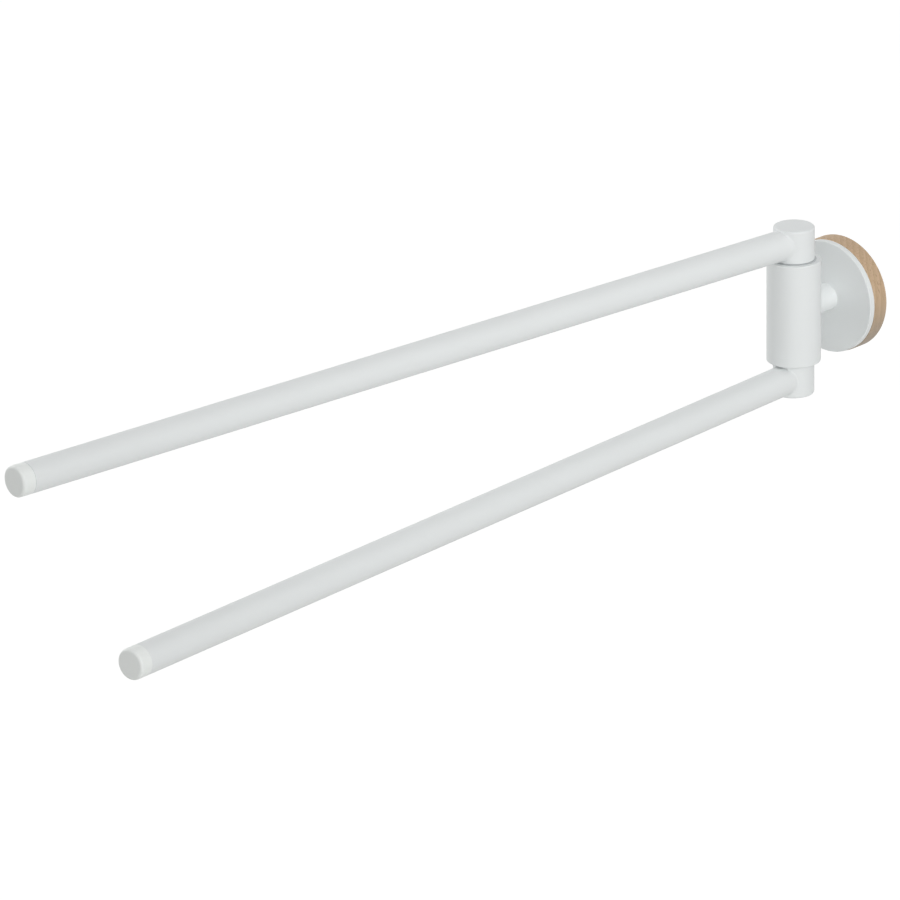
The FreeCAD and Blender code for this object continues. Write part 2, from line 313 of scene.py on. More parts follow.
def drill(piece: bpy.types.Object, place: Matrix, radius: float, start: float, end: float) -> None:
    """Cuts a round hole into a piece.

    Args:
        piece: piece to drill.
        place: matrix from the drill's axis, which is Z, to the frame.
        radius: radius of the hole.
        start: where the hole begins along the axis.
        end: where it ends.
    """
    outline = [(0, start, 0), (radius, start, 0), (radius, end, 0), (0, end, 0)]
    bit = skin("drill", turned_rings(outline, place))
    cut = piece.modifiers.new("hole", "BOOLEAN")
    cut.object = bit
    cut.operation = "DIFFERENCE"
    cut.solver = "EXACT"
    bpy.context.view_layer.update()
    solid = piece.data
    drilled = piece.evaluated_get(bpy.context.evaluated_depsgraph_get())
    piece.data = bpy.data.meshes.new_from_object(drilled)
    piece.data.name = piece.name
    piece.modifiers.remove(cut)
    bpy.data.meshes.remove(solid)
    bpy.data.meshes.remove(bit.data)


class Finish:
    """What every finish does: make its material once and put it on pieces."""

    label: str
    slot: str

    def surface(self, tree: bpy.types.NodeTree, place: bpy.types.NodeSocket) -> dict[str | int, Any]:
        """Draws the finish.

        Args:
            tree: node tree of the finish's material.
            place: the piece's own coordinates, in metres.

        Returns:
            The shader's inputs, as constants and as outputs of the nodes that vary them.
        """
        raise NotImplementedError

    def material(self) -> bpy.types.Material:
        """Gives the finish's material, made at its first use.

        Returns:
            The material.
        """
        known = bpy.data.materials.get(self.label)
        if known:
            return known
        made = bpy.data.materials.new(self.label)
        made.use_nodes = True
        tree = made.node_tree
        tree.nodes.clear()
        place = add_node(tree, "TexCoord").outputs["Object"]
        shader = add_node(tree, "BsdfPrincipled", self.surface(tree, place))
        add_node(tree, "OutputMaterial", {"Surface": shader.outputs["BSDF"]})
        return made

    def put_on(self, piece: bpy.types.Object) -> None:
        """Dresses a piece.

        Args:
            piece: new piece or CAD node.
        """
        if piece.material_slots:
            piece.material_slots[0].material = self.material()
        else:
            piece.data.materials.append(self.material())


@dataclass(frozen=True)
class SprayedPowderCoat(Finish):
    """White polyester powder, sprayed on steel and baked."""

    # Polyester powder melts into one satin film: soft wide highlights, a faint orange peel that makes
    # them waver, and a hardly visible drift of tone where the film is thicker.
    label: str = "white_polyester_powder_coat_sprayed"
    slot: str = "white_powder_coat"
    colour: str = "#E6E9E9"
    thin_colour: str = "#E3E6E6"
    roughness: float = 0.5
    roughness_drift: float = 0.03
    ior: float = 1.5
    drift: float = 35 * MM
    peel: float = 2.2 * MM
    peel_detail: float = 1.0          # octaves of finer waves in the peel
    peel_height: float = 0.004 * MM

    def surface(self, tree: bpy.types.NodeTree, place: bpy.types.NodeSocket) -> dict[str | int, Any]:
        """Draws the film's drift and its orange peel.

        Args:
            tree: node tree of the finish's material.
            place: the piece's own coordinates, in metres.

        Returns:
            The shader's inputs.
        """
        film = add_node(tree, "TexNoise", {"Vector": place, "Scale": per_metre(self.drift)})
        colour = add_node(tree, "Mix", {
            MIX_FACTOR: film.outputs["Fac"],
            MIX_A: hex_to_linear(self.thin_colour),
            MIX_B: hex_to_linear(self.colour),
        }, data_type="RGBA")
        gloss = add_node(tree, "MapRange", {
            "Value": film.outputs["Fac"],
            "To Min": self.roughness - self.roughness_drift,
            "To Max": self.roughness + self.roughness_drift,
        })
        waves = add_node(tree, "TexNoise", {
            "Vector": place,
            "Scale": per_metre(self.peel),
            "Detail": self.peel_detail,
        })
        peel = add_node(tree, "Bump", {"Height": waves.outputs["Fac"], "Distance": self.peel_height})
        return {
            "Base Color": colour.outputs[MIX_RESULT],
            "Roughness": gloss.outputs["Result"],
            "IOR": self.ior,
            "Normal": peel.outputs["Normal"],
        }


@dataclass(frozen=True)
class MouldedPlastic(Finish):
    """Plastic moulded in a spark-eroded tool."""

    # A moulded part takes the tool's fine even grain: a dull bloom with no waviness, and colour right
    # through.
    label: str
    slot: str
    colour: str
    roughness: float
    ior: float
    grain: float = 0.6 * MM           # the tool's grain is near 0.1 mm, drawn coarser so that it shows
    grain_detail: float = 3.0         # octaves of finer grain in it
    grain_height: float = 0.003 * MM
    mottle: float = 4 * MM
    mottle_depth: float = 0.03

    def surface(self, tree: bpy.types.NodeTree, place: bpy.types.NodeSocket) -> dict[str | int, Any]:
        """Draws the tool's grain.

        Args:
            tree: node tree of the finish's material.
            place: the piece's own coordinates, in metres.

        Returns:
            The shader's inputs.
        """
        grain = add_node(tree, "TexNoise", {
            "Vector": place,
            "Scale": per_metre(self.grain),
            "Detail": self.grain_detail,
        })
        relief = add_node(tree, "Bump", {"Height": grain.outputs["Fac"], "Distance": self.grain_height})
        mottle = add_node(tree, "TexNoise", {"Vector": place, "Scale": per_metre(self.mottle)})
        gloss = add_node(tree, "MapRange", {
            "Value": mottle.outputs["Fac"],
            "To Min": self.roughness - self.mottle_depth,
            "To Max": self.roughness + self.mottle_depth,
        })
        return {
            "Base Color": hex_to_linear(self.colour),
            "Roughness": gloss.outputs["Result"],
            "IOR": self.ior,
            "Normal": relief.outputs["Normal"],
        }


@dataclass(frozen=True)
class TurnedBeech(Finish):
    """Beech, turned on a lathe and oiled."""

    # Beech is even and pinkish brown, with soft growth rings and short dark flecks along the grain, which
    # show as dots on end grain. Oil deepens it and leaves it dull. The grain runs upright, and the ring's
    # lower side is painted darker and greyer: painted shade where less light falls on it.
    ring_radius: float
    label: str = "beech_turned_oiled"
    slot: str = "wood"
    pale: str = "#C7AC8E"
    dark: str = "#B99D7D"
    fleck: str = "#A08468"
    # painted shade: a darker, greyer colour for the ring's lower side, where less light falls
    painted_shade: str = "#A19484"
    roughness: float = 0.55
    ior: float = 1.5
    painted_shade_from: float = 9 * MM                     # height at which the painted shade begins
    heart: tuple[float, float] = (70 * MM, 55 * MM)    # X and Y of the tree's heart
    growth: float = 2.6 * MM
    wander: float = 14 * MM
    wander_reach: float = 1.6 * MM
    fleck_width: float = 0.6 * MM     # near 0.2 mm in beech, drawn coarser so that it shows
    fleck_stretch: float = 9.0
    fleck_detail: float = 3.0         # octaves of finer fibres in the flecks
    fleck_from: float = 0.52          # share of the fibres' noise at which a fleck begins
    fleck_full: float = 0.75          # the same where it is darkest
    fleck_depth: float = 0.012 * MM

    def surface(self, tree: bpy.types.NodeTree, place: bpy.types.NodeSocket) -> dict[str | int, Any]:
        """Draws growth rings, flecks and a painted shade towards the bottom.

        Args:
            tree: node tree of the finish's material.
            place: the piece's own coordinates, in metres.

        Returns:
            The shader's inputs.
        """
        from_heart = add_node(tree, "Mapping", {
            "Vector": place,
            "Location": (-self.heart[0], -self.heart[1], 0),
            "Scale": (1, 1, 0),
        })
        distance = add_node(tree, "VectorMath", {0: from_heart.outputs["Vector"]}, operation="LENGTH")
        wander = add_node(tree, "TexNoise", {"Vector": place, "Scale": per_metre(self.wander)})
        swayed = add_node(tree, "Math", {
            0: wander.outputs["Fac"],
            1: self.wander_reach,
            2: distance.outputs["Value"],
        }, operation="MULTIPLY_ADD")
        years = add_node(tree, "Math", {0: swayed.outputs["Value"], 1: self.growth}, operation="DIVIDE")
        season = add_node(tree, "Math", {0: years.outputs["Value"]}, operation="FRACT")
        wood = add_node(tree, "Mix", {
            MIX_FACTOR: season.outputs["Value"],
            MIX_A: hex_to_linear(self.pale),
            MIX_B: hex_to_linear(self.dark),
        }, data_type="RGBA")
        drawn_out = add_node(tree, "Mapping", {"Vector": place, "Scale": (1, 1, 1 / self.fleck_stretch)})
        fibres = add_node(tree, "TexNoise", {
            "Vector": drawn_out.outputs["Vector"],
            "Scale": per_metre(self.fleck_width),
            "Detail": self.fleck_detail,
        })
        flecks = add_node(tree, "MapRange", {
            "Value": fibres.outputs["Fac"],
            "From Min": self.fleck_from,
            "From Max": self.fleck_full,
        })
        flecked = add_node(tree, "Mix", {
            MIX_FACTOR: flecks.outputs["Result"],
            MIX_A: wood.outputs[MIX_RESULT],
            MIX_B: hex_to_linear(self.fleck),
        }, data_type="RGBA")
        height = add_node(tree, "SeparateXYZ", {"Vector": place})
        # painted shade: the colour turns darker and greyer down towards the ring's bottom, where less light
        # falls
        heart = add_node(tree, "MapRange", {
            "Value": height.outputs["Z"],
            "From Min": self.painted_shade_from,
            "From Max": -self.ring_radius,
        }, interpolation_type="SMOOTHSTEP")
        colour = add_node(tree, "Mix", {
            MIX_FACTOR: heart.outputs["Result"],
            MIX_A: flecked.outputs[MIX_RESULT],
            MIX_B: hex_to_linear(self.painted_shade),
        }, data_type="RGBA")
        pores = add_node(tree, "Bump", {
            "Height": flecks.outputs["Result"],
            "Distance": self.fleck_depth,
        }, invert=True)
        return {
            "Base Color": colour.outputs[MIX_RESULT],
            "Roughness": self.roughness,
            "IOR": self.ior,
            "Normal": pores.outputs["Normal"],
        }


@dataclass(frozen=True)
class TurnedSteel(Finish):
    """Bare steel, turned on a lathe about the pivot."""

    # A lathe leaves fine rings round the axis, which spread a highlight into two opposite fans.
    label: str
    slot: str
    colour: str
    roughness: float
    axis: tuple[float, float, float]
    pitch: float = 0.35 * MM          # the tool's feed is near 0.1 mm, drawn coarser so that it shows
    groove: float = 0.004 * MM
    chatter: float = 0.5              # how far the tool's rings stray, in radians of their wave
    stain: float = 3 * MM
    stain_depth: float = 0.06

    def surface(self, tree: bpy.types.NodeTree, place: bpy.types.NodeSocket) -> dict[str | int, Any]:
        """Draws the tool's rings.

        Args:
            tree: node tree of the finish's material.
            place: the piece's own coordinates, in metres.

        Returns:
            The shader's inputs.
        """
        centred = add_node(tree, "Mapping", {
            "Vector": place,
            "Location": tuple(-shift for shift in self.axis),
        })
        rings = add_node(tree, "TexWave", {
            "Vector": centred.outputs["Vector"],
            "Scale": per_metre(self.pitch) * math.tau / WAVE_RADIANS,
            "Distortion": self.chatter,
        }, wave_type="RINGS", rings_direction="Z")
        relief = add_node(tree, "Bump", {"Height": rings.outputs["Fac"], "Distance": self.groove})
        stain = add_node(tree, "TexNoise", {"Vector": place, "Scale": per_metre(self.stain)})
        gloss = add_node(tree, "MapRange", {
            "Value": stain.outputs["Fac"],
            "To Min": self.roughness - self.stain_depth,
            "To Max": self.roughness + self.stain_depth,
        })
        return {
            "Base Color": hex_to_linear(self.colour),
            "Metallic": 1.0,
            "Roughness": gloss.outputs["Result"],
            "Normal": relief.outputs["Normal"],
        }


@dataclass(frozen=True)
class ZincPlate(Finish):
    """Pressed steel, barrel-plated with zinc and passivated."""

    # Plating in a tumbling barrel leaves a cool bright grey with cloudy patches and a faint yellow and
    # blue cast.
    label: str = "steel_zinc_plated_passivated"
    slot: str = "zinc_plated_steel"
    blue: str = "#B4BAC2"
    yellow: str = "#C2BFB2"
    roughness: float = 0.34
    roughness_drift: float = 0.1
    cloud: float = 5 * MM
    cloud_detail: float = 4.0         # octaves of finer mist in a cloud
    cloud_from: float = 0.3           # share of the mist's noise at which the yellow cast begins
    cloud_full: float = 0.7           # the same where it is strongest
    tumble: float = 0.7 * MM
    tumble_height: float = 0.004 * MM

    def surface(self, tree: bpy.types.NodeTree, place: bpy.types.NodeSocket) -> dict[str | int, Any]:
        """Draws the clouds and the tumbled surface.

        Args:
            tree: node tree of the finish's material.
            place: the piece's own coordinates, in metres.

        Returns:
            The shader's inputs.
        """
        mist = add_node(tree, "TexNoise", {
            "Vector": place,
            "Scale": per_metre(self.cloud),
            "Detail": self.cloud_detail,
        })
        cloud = add_node(tree, "MapRange", {
            "Value": mist.outputs["Fac"],
            "From Min": self.cloud_from,
            "From Max": self.cloud_full,
        })
        colour = add_node(tree, "Mix", {
            MIX_FACTOR: cloud.outputs["Result"],
            MIX_A: hex_to_linear(self.blue),
            MIX_B: hex_to_linear(self.yellow),
        }, data_type="RGBA")
        gloss = add_node(tree, "MapRange", {
            "Value": cloud.outputs["Result"],
            "To Min": self.roughness - self.roughness_drift,
            "To Max": self.roughness + self.roughness_drift,
        })
        dents = add_node(tree, "TexVoronoi", {"Vector": place, "Scale": per_metre(self.tumble)})
        relief = add_node(tree, "Bump", {
            "Height": dents.outputs["Distance"],
            "Distance": self.tumble_height,
        })
        return {
            "Base Color": colour.outputs[MIX_RESULT],
            "Metallic": 1.0,
            "Roughness": gloss.outputs["Result"],
            "Normal": relief.outputs["Normal"],
        }


POWDER_COAT = SprayedPowderCoat()
CAP_PLASTIC = MouldedPlastic(
    "white_polypropylene_moulded", "white_cap_plastic", colour="#EEF1EF", roughness=0.45, ior=1.49)
ACETAL = MouldedPlastic(
    "grey_acetal_moulded", "grey_acetal", colour="#BFC2C4", roughness=0.42, ior=1.48)
BEECH = TurnedBeech(ring_radius=span("wood_ring", Vector(), UP)[1])
STAINLESS = TurnedSteel(
    "stainless_steel_turned", "stainless_steel", colour="#C4C1BA", roughness=0.28, axis=tuple(PIVOT))
SPRING_STEEL = TurnedSteel(
    "spring_steel_oiled", "spring_steel", colour="#6A6762", roughness=0.4, axis=tuple(PIVOT))
ZINC = ZincPlate()


@dataclass
class SubAssembly:
    """What every sub-assembly does: build its own meshes and dress the CAD nodes that stay."""

    body: Body

    def build(self) -> Iterator[bpy.types.Object]:
        """Builds the new pieces and dresses the kept nodes.

        Returns:
            The pieces, each on its body and dressed.
        """
        raise NotImplementedError

    def stand_in(self, piece: bpy.types.Object, node: str, finish: Finish) -> bpy.types.Object:
        """Puts a new piece in a node's place.

        Args:
            piece: the new mesh.
            node: CAD node that it stands for.
            finish: what it is dressed in.

        Returns:
            The same piece.
        """
        piece.data.shade_smooth()
        piece.data.set_sharp_from_angle(angle=SHARP)
        piece.modifiers.new("flats stay flat", "WEIGHTED_NORMAL").keep_sharp = True
        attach(piece, self.body.value)
        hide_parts(node)
        finish.put_on(piece)
        return piece

    @staticmethod
    def keep(node: str, finish: Finish) -> bpy.types.Object:
        """Dresses a CAD node that stays.

        Args:
            node: name of the node.
            finish: what it is dressed in.

        Returns:
            The node's object.
        """
        finish.put_on(frame["nodes"][node])
        return frame["nodes"][node]


@dataclass
class WallRosette(SubAssembly):
    """Round cover on a wooden ring, locked to the wall plate by a set screw from below."""

    body: Body = Body.WALL_MOUNT
    cover_edge: float = 0.4 * MM
    skirt_wall: float = 3.0 * MM
    screw_hole: float = 2.6 * MM
    wood_wall: float = 4.45 * MM
    wood_edge: float = 0.4 * MM
    key_room: float = 0.3 * MM       # how far the hole for the key reaches past the set screw
    fit: float = 0.03 * MM
    arris: float = 0.15 * MM         # rounding of the edges that don't show
    place: Matrix = field(init=False)
    back: float = field(init=False)
    front: float = field(init=False)
    radius: float = field(init=False)
    wood_front: float = field(init=False)
    wood_radius: float = field(init=False)
    wood_bore: float = field(init=False)
    set_screw: float = field(init=False)
    set_screw_axis: Matrix = field(init=False)

    def __post_init__(self) -> None:
        """Takes the main sizes from the frame."""
        self.place = axes_along(Vector(), ROOMWARDS)
        self.back, self.front = span("rosette", Vector(), ROOMWARDS)
        self.radius = span("rosette", Vector(), UP)[1]
        self.wood_front = span("wood_ring", Vector(), ROOMWARDS)[1]
        self.wood_radius = span("wood_ring", Vector(), UP)[1]
        self.wood_bore = self.wood_radius - self.wood_wall
        low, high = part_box("rosette_set_screw")
        self.set_screw = (high.x - low.x) / 2
        self.set_screw_axis = Matrix.Translation((0, (low.y + high.y) / 2, 0))

    def cover(self) -> bpy.types.Object:
        """Makes the round cover with its skirt.

        Returns:
            The mesh.
        """
        skirt = self.wood_bore - self.fit
        inside = skirt - self.skirt_wall
        piece = skin("rosette_cover", turned_rings([
            (inside, self.back, self.arris),
            (skirt, self.back, self.arris),
            (skirt, self.wood_front, self.arris),
            (self.radius, self.wood_front, self.arris),
            (self.radius, self.front, self.cover_edge),
            (self.screw_hole, self.front, 0),
            (self.screw_hole, self.wood_front, 0),
            (inside, self.wood_front, self.arris),
        ], self.place, closed=True), closed=True)
        thread = self.set_screw + self.fit
        drill(piece, self.set_screw_axis, thread, start=-self.wood_radius, end=-inside / 2)
        return piece

    def wood_ring(self) -> bpy.types.Object:
        """Makes the wooden ring with the hole for the set screw's key.

        Returns:
            The mesh.
        """
        piece = skin("turned_wood_ring", turned_rings([
            (self.wood_bore, 0, self.arris),
            (self.wood_radius, 0, self.wood_edge),
            (self.wood_radius, self.wood_front, self.wood_edge),
            (self.wood_bore, self.wood_front, self.arris),
        ], self.place, closed=True), closed=True)
        key_hole = self.set_screw + self.key_room
        drill(piece, self.set_screw_axis, key_hole, start=-2 * self.wood_radius, end=-self.wood_bore / 2)
        return piece

    def build(self) -> Iterator[bpy.types.Object]:
        """Builds the cover and the ring, and dresses the plate and the screws.

        Returns:
            The pieces, each on its body and dressed.
        """
        yield self.stand_in(self.cover(), "rosette", POWDER_COAT)
        yield self.stand_in(self.wood_ring(), "wood_ring", BEECH)
        yield self.keep("wall_plate", ZINC)
        yield self.keep("neck_screw", ZINC)
        yield self.keep("neck_washer", ZINC)
        yield self.keep("rosette_set_screw", STAINLESS)


@dataclass
class HingeBarrel(SubAssembly):
    """Upright barrel on a neck, with the bushes that the pivot bolt turns in."""

    body: Body = Body.WALL_MOUNT
    barrel_bore: float = 6.5 * MM
    barrel_edge: float = 0.4 * MM
    flange_seat: float = 0.6 * MM    # how deep a bush's flange lies in the barrel's end
    tenon: float = 4.0 * MM
    thread: float = 2.53 * MM
    thread_depth: float = 6.8 * MM
    bead: float = 0.6 * MM           # fillet of coat in the corner between neck and barrel
    foot_bead: float = 0.3 * MM      # the same between neck and cover
    fit: float = 0.03 * MM
    arris: float = 0.2 * MM          # rounding of the edges that don't show
    radius: float = field(init=False)
    bottom: float = field(init=False)
    top: float = field(init=False)
    flange: float = field(init=False)
    neck_axis: Matrix = field(init=False)
    neck_radius: float = field(init=False)
    tenon_end: float = field(init=False)
    cover_at: float = field(init=False)

    def __post_init__(self) -> None:
        """Takes the main sizes from the frame."""
        low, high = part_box("pivot_barrel")
        self.radius = (high.x - low.x) / 2
        self.bottom, self.top = low.z, high.z
        flange_low, flange_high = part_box("upper_bush")
        self.flange = (flange_high.x - flange_low.x) / 2
        self.neck_axis = axes_along(PIVOT, -ROOMWARDS)
        self.neck_radius = span("neck_post", PIVOT, UP)[1]
        self.tenon_end = span("neck_post", PIVOT, -ROOMWARDS)[0]
        self.cover_at = span("rosette", PIVOT, -ROOMWARDS)[0]

    def barrel(self) -> bpy.types.Object:
        """Makes the barrel with the seats for the bushes' flanges and the socket for the neck's tenon.

        Returns:
            The mesh.
        """
        seat = self.flange + self.fit
        piece = skin("hinge_barrel", turned_rings([
            (self.barrel_bore, self.bottom + self.flange_seat, self.arris),
            (seat, self.bottom + self.flange_seat, 0),
            (seat, self.bottom, self.arris),
            (self.radius, self.bottom, self.barrel_edge),
            (self.radius, self.top, self.barrel_edge),
            (seat, self.top, self.arris),
            (seat, self.top - self.flange_seat, 0),
            (self.barrel_bore, self.top - self.flange_seat, self.arris),
        ], Matrix.Translation(PIVOT), closed=True), closed=True)
        drill(piece, self.neck_axis, self.tenon + self.fit, start=0, end=2 * self.radius)
        return piece

    def neck(self) -> bpy.types.Object:
        """Makes the neck, flared by the coat where it meets the barrel and the cover.

        Returns:
            The mesh.
        """
        place = self.neck_axis
        foot = self.cover_at + SINK
        thread_end = self.cover_at - self.thread_depth
        tenon_rings = [
            ring_at(place, 0, self.tenon_end),
            ring_at(place, self.tenon, self.tenon_end),
            ring_at(place, self.tenon, saddle(self.tenon, self.radius - SINK)),
        ]
        barrel_rings = bead_rings(place, self.neck_radius, self.radius - SINK, self.bead, self.bead)
        foot_rings = turned_rings([
            (self.neck_radius, foot - 2 * self.foot_bead, 0),
            (self.neck_radius, foot, self.foot_bead),
            (self.neck_radius + 2 * self.foot_bead, foot, 0),
        ], place)[1:-1]
        thread_rings = [
            ring_at(place, self.thread, foot),
            ring_at(place, self.thread, thread_end),
            ring_at(place, 0, thread_end),
        ]
        return skin("hinge_neck", tenon_rings + barrel_rings + foot_rings + thread_rings)

    def build(self) -> Iterator[bpy.types.Object]:
        """Builds the barrel and the neck, and dresses the bushes.

        Returns:
            The pieces, each on its body and dressed.
        """
        yield self.stand_in(self.barrel(), "pivot_barrel", POWDER_COAT)
        yield self.stand_in(self.neck(), "neck_post", POWDER_COAT)
        yield self.keep("upper_bush", ACETAL)
        yield self.keep("lower_bush", ACETAL)


class ArmSide(Enum):
    """The two arms, with the start of their nodes' names."""

    UPPER = "upper"
    LOWER = "lower"


@dataclass
class SwingArm(SubAssembly):
    """One arm: a knuckle on the pivot, a tube brazed to it and a pressed-in end cap."""

    body: Body
    side: ArmSide
    seam: float                      # bevel on either side of the seam between tube and cap
    tube_wall: float = 1.0 * MM
    cap_edge: float = 1.3 * MM
    plug_lead: float = 0.8 * MM
    bead_side: float = 2.5 * MM      # fillet beside the tube, where it is brazed to the knuckle
    bead_top: float = 0.08 * MM      # the same above and below it, where the knuckle's lip is low
    tube_span: float = 50 * MM       # length of the tube's faces
    fit: float = 0.03 * MM
    arris: float = 0.05 * MM         # rounding of the cap's small edges
    along: Vector = field(init=False)
    place: Matrix = field(init=False)
    tube_radius: float = field(init=False)
    bore: float = field(init=False)
    knuckle_radius: float = field(init=False)
    seam_at: float = field(init=False)
    plug_from: float = field(init=False)
    reach: float = field(init=False)

    def __post_init__(self) -> None:
        """Takes the main sizes from the frame."""
        joint = next(joint for joint in frame["joints"] if joint["child"] == self.body.value)
        # The arm's limits lie a quarter turn to either side of the wall's normal
        swing = Matrix.Rotation(-math.radians(sum(joint["range_deg"]) / 2), 3, "Z")
        low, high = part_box(self.node("arm_tube"))
        self.along = swing @ ROOMWARDS
        self.place = axes_along(Vector((PIVOT.x, PIVOT.y, (low.z + high.z) / 2)), self.along)
        self.tube_radius = (high.z - low.z) / 2
        self.bore = self.tube_radius - self.tube_wall
        knuckle_low, knuckle_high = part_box(self.node("knuckle"))
        self.knuckle_radius = (knuckle_high.x - knuckle_low.x) / 2
        self.seam_at = span(self.node("arm_tube"), PIVOT, self.along)[1]
        self.plug_from, self.reach = span(self.node("end_cap"), PIVOT, self.along)

    def node(self, piece: str) -> str:
        """Name of this arm's CAD node for a piece."""
        return f"{self.side.value}_{piece}"

    def tube(self) -> bpy.types.Object:
        """Makes the tube, with the fillet where it meets the knuckle.

        Returns:
            The mesh.
        """
        post = self.knuckle_radius - SINK
        spans = int(self.seam_at / self.tube_span)
        rings = bead_rings(self.place, self.tube_radius, post, self.bead_side, self.bead_top)
        stations = [self.seam_at * step / spans for step in range(1, spans)]
        rings += [ring_at(self.place, self.tube_radius, station) for station in stations]
        rings += [
            ring_at(self.place, self.tube_radius, self.seam_at - self.seam),
            ring_at(self.place, self.tube_radius - self.seam, self.seam_at),
            ring_at(self.place, self.bore, self.seam_at),
            ring_at(self.place, self.bore, saddle(self.bore, post)),
        ]
        return skin(self.node("tube"), rings, closed=True)

    def cap(self) -> bpy.types.Object:
        """Makes the end cap with its plug.

        Returns:
            The mesh.
        """
        plug = self.bore - self.fit
        return skin(self.node("cap"), turned_rings([
            (0, self.plug_from, 0),
            (plug - self.plug_lead, self.plug_from, self.arris),
            (plug, self.plug_from + self.plug_lead, self.arris),
            (plug, self.seam_at, 0),
            (self.tube_radius - self.seam, self.seam_at, 0),
            (self.tube_radius, self.seam_at + self.seam, self.arris),
            (self.tube_radius, self.reach, self.cap_edge),
            (0, self.reach, 0),
        ], self.place))

    def build(self) -> Iterator[bpy.types.Object]:
        """Builds the tube and the cap, and dresses the knuckle.

        Returns:
            The pieces, each on its body and dressed.
        """
        yield self.stand_in(self.tube(), self.node("arm_tube"), POWDER_COAT)
        yield self.stand_in(self.cap(), self.node("end_cap"), CAP_PLASTIC)
        yield self.keep(self.node("knuckle"), POWDER_COAT)


@dataclass
class PivotStack(SubAssembly):
    """Pivot bolt and the washers and spring under its head, which give the arms their friction."""

    body: Body = Body.UPPER_ARM

    def build(self) -> Iterator[bpy.types.Object]:
        """Dresses the bolt, the washers and the spring, which ride on their own bodies already.

        Returns:
            The nodes, dressed.
        """
        yield self.keep("pivot_bolt", STAINLESS)
        yield self.keep("head_washer", STAINLESS)
        yield self.keep("disc_spring", SPRING_STEEL)
        yield self.keep("friction_washer", ACETAL)


def direction(azimuth: float, elevation: float) -> Vector:
    """Unit vector from the object.

    Args:
        azimuth: degrees round the object, 0 square in front of the wall and 90 towards +X.
        elevation: degrees above the horizon.

    Returns:
        The vector towards that point of the studio.
    """
    turn, rise = math.radians(azimuth), math.radians(elevation)
    return Vector((math.sin(turn) * math.cos(rise), -math.cos(turn) * math.cos(rise), math.sin(rise)))


@dataclass(frozen=True)
class Softbox:
    """One square softbox that faces the object."""

    name: str
    azimuth: float
    elevation: float
    level: float                     # how white it makes a white card that faces it; 1 is full white
    distance: float = 2.0
    width: float = 1.6
    fan: float = 180.0               # degrees that its light fans out over; a grid narrows them

    def power(self) -> float:
        """Works out the lamp's power from its level.

        Returns:
            Watts, with what the grid gathers towards the middle and what it holds back from the
            box's edges.
        """
        half = math.radians(self.fan) / 2
        gathered = 1 - half / math.tan(half)
        passed = 1 - MEAN_REACH * self.width / self.distance / math.tan(half)
        return self.level * math.pi ** 2 * self.distance ** 2 * gathered / passed

    def build(self, aim: Vector) -> None:
        """Hangs the softbox in the studio.

        Args:
            aim: point that it faces.
        """
        lamp = bpy.data.lights.new(self.name, "AREA")
        lamp.size = self.width
        lamp.spread = math.radians(self.fan)
        lamp.energy = self.power()
        box = bpy.data.objects.new(self.name, lamp)
        away = direction(self.azimuth, self.elevation)
        box.location = aim + away * self.distance
        box.rotation_euler = away.to_track_quat("Z", "Y").to_euler()
        box.visible_camera = False
        bpy.context.scene.collection.objects.link(box)


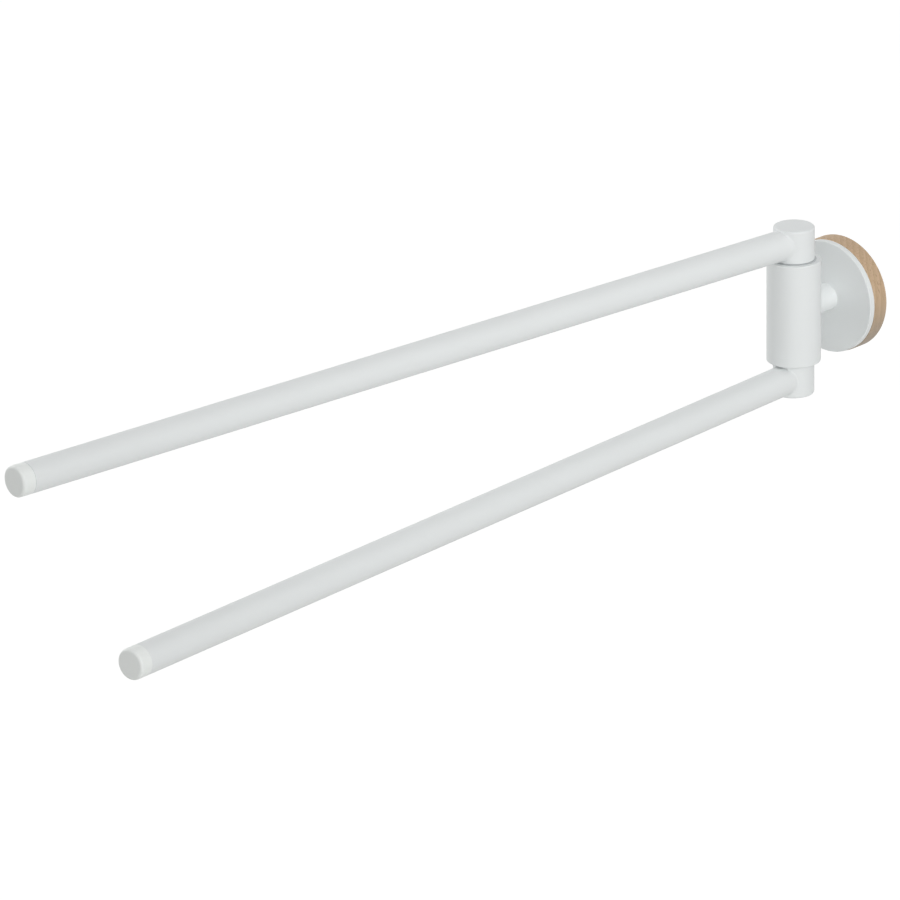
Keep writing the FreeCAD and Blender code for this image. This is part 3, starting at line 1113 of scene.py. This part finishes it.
@dataclass(frozen=True)
class Studio:
    """Pale floor, white surroundings and soft light."""

    softboxes: tuple[Softbox, ...] = (
        Softbox("right_softbox", azimuth=75, elevation=20, level=0.47, distance=1.5, width=1.1, fan=60),
        Softbox("left_softbox", azimuth=278, elevation=20, level=0.47),
        Softbox("front_softbox", azimuth=45, elevation=0, level=0.16, distance=3.0, width=2.4),
        Softbox("top_softbox", azimuth=0, elevation=85, level=0.13),
    )
    surroundings: str = "#FFFFFF"
    ambient: float = 0.40            # light from all round, as a share of full white
    floor_drop: float = 1.1          # the mount's usual height above the floor
    floor_width: float = 24.0
    floor_colour: str = "#F0F0EE"
    floor_white: float = 0.96        # what the floor shows of itself; light and shadow add the rest
    floor_tint: str = "#6E6E6C"      # paint that takes the light and the object's shadow where it is seen

    @staticmethod
    def shows_background(tree: bpy.types.NodeTree) -> bpy.types.NodeSocket:
        """Finds the rays that look at the background, straight, mirrored or through a clear piece.

        Args:
            tree: node tree of the floor or the world.

        Returns:
            Socket that is 1 for those rays and 0 for the rays that carry light.
        """
        rays = add_node(tree, "LightPath").outputs
        mirrored = add_node(tree, "Math", {
            0: rays["Is Glossy Ray"],
            1: rays["Is Transmission Ray"],
        }, operation="MAXIMUM")
        seen = add_node(tree, "Math", {
            0: rays["Is Camera Ray"],
            1: mirrored.outputs["Value"],
        }, operation="MAXIMUM")
        return seen.outputs["Value"]

    def world(self) -> None:
        """Makes the surroundings white to look at and dimmer as a light."""
        world = bpy.data.worlds.new("white_studio")
        world.use_nodes = True
        tree = world.node_tree
        tree.nodes.clear()
        colour = hex_to_linear(self.surroundings)
        light = add_node(tree, "Background", {"Strength": self.ambient, "Color": colour})
        white = add_node(tree, "Background", {"Strength": 1.0, "Color": colour})
        either = add_node(tree, "MixShader", {
            0: self.shows_background(tree),
            1: light.outputs["Background"],
            2: white.outputs["Background"],
        })
        add_node(tree, "OutputWorld", {"Surface": either.outputs["Shader"]})
        bpy.context.scene.world = world

    def floor(self) -> None:
        """Lays the pale floor, which is clear from below so that it never hides the object."""
        half = self.floor_width / 2
        mesh = bpy.data.meshes.new("studio_floor")
        corners = [(-half, -half), (half, -half), (half, half), (-half, half)]
        mesh.from_pydata([(x, y, -self.floor_drop) for x, y in corners], [], [(0, 1, 2, 3)])
        made = bpy.data.materials.new("studio_floor_paint")
        made.use_nodes = True
        tree = made.node_tree
        tree.nodes.clear()
        paint = add_node(tree, "BsdfDiffuse", {"Color": hex_to_linear(self.floor_colour)})
        white = add_node(tree, "Emission", {"Strength": self.floor_white})
        tint = add_node(tree, "BsdfDiffuse", {"Color": hex_to_linear(self.floor_tint)})
        shaded_white = add_node(tree, "AddShader", {
            0: white.outputs["Emission"],
            1: tint.outputs["BSDF"],
        })
        either = add_node(tree, "MixShader", {
            0: self.shows_background(tree),
            1: paint.outputs["BSDF"],
            2: shaded_white.outputs["Shader"],
        })
        clear = add_node(tree, "BsdfTransparent")
        one_sided = add_node(tree, "MixShader", {
            0: add_node(tree, "NewGeometry").outputs["Backfacing"],
            1: either.outputs["Shader"],
            2: clear.outputs["BSDF"],
        })
        add_node(tree, "OutputMaterial", {"Surface": one_sided.outputs["Shader"]})
        mesh.materials.append(made)
        floor = bpy.data.objects.new("studio_floor", mesh)
        bpy.context.scene.collection.objects.link(floor)

    def build(self) -> None:
        """Builds the surroundings, the floor and the softboxes."""
        bpy.context.scene.view_settings.view_transform = "Standard"
        self.world()
        self.floor()
        for softbox in self.softboxes:
            softbox.build(PIVOT)


@dataclass(frozen=True)
class PhotoCamera:
    """Long-lens camera where the photograph's stood."""

    # The camera's place comes from a fit to edges of the tubes, barrel, rosette and caps in the photograph.
    # Angles are in degrees.
    azimuth: float = 43.045
    elevation: float = 20.226
    roll: float = -0.70
    lens: float = 354.2              # millimetres, as Blender counts them
    sensor: float = 36.0
    distance: float = 3.7152         # to the middle of the pivot, along the view
    frame_px: int = 900              # width and height of the picture
    pivot_px: tuple[float, float] = (793.742, 309.012)    # where the pivot's middle lies in it

    def build(self) -> None:
        """Sets the camera so that the pivot lies where the photograph shows it."""
        back = direction(self.azimuth, self.elevation)
        level = UP.cross(back).normalized()
        turned = Matrix.Rotation(math.radians(self.roll), 3, back)
        right = turned @ level
        upwards = turned @ back.cross(level)
        per_px = self.distance * self.sensor / self.lens / self.frame_px
        across = (self.pivot_px[0] - self.frame_px / 2) * per_px
        down = (self.pivot_px[1] - self.frame_px / 2) * per_px
        data = bpy.data.cameras.new("photo_camera")
        data.lens = self.lens
        data.sensor_width = self.sensor
        camera = bpy.data.objects.new("photo_camera", data)
        stand = PIVOT + back * self.distance - right * across + upwards * down
        axes = Matrix((right, upwards, back)).transposed().to_4x4()
        camera.matrix_world = Matrix.Translation(stand) @ axes
        bpy.context.scene.collection.objects.link(camera)
        bpy.context.scene.camera = camera


def main() -> None:
    """Builds the holder, the studio and the camera."""
    logging.basicConfig(level=logging.INFO, format="%(name)s: %(message)s")
    # The photograph hardly shows the lower cap's seam, so it is drawn finer than the upper one's
    assemblies: list[SubAssembly] = [
        WallRosette(),
        HingeBarrel(),
        SwingArm(Body.UPPER_ARM, ArmSide.UPPER, seam=0.25 * MM),
        SwingArm(Body.LOWER_ARM, ArmSide.LOWER, seam=0.06 * MM),
        PivotStack(),
    ]
    for assembly in assemblies:
        for piece in assembly.build():
            finish = piece.material_slots[0].material.name
            log.info("%s: %s on %s, in %s", type(assembly).__name__, piece.name, piece["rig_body"], finish)
    Studio().build()
    PhotoCamera().build()


if __name__ == "__main__":
    main()
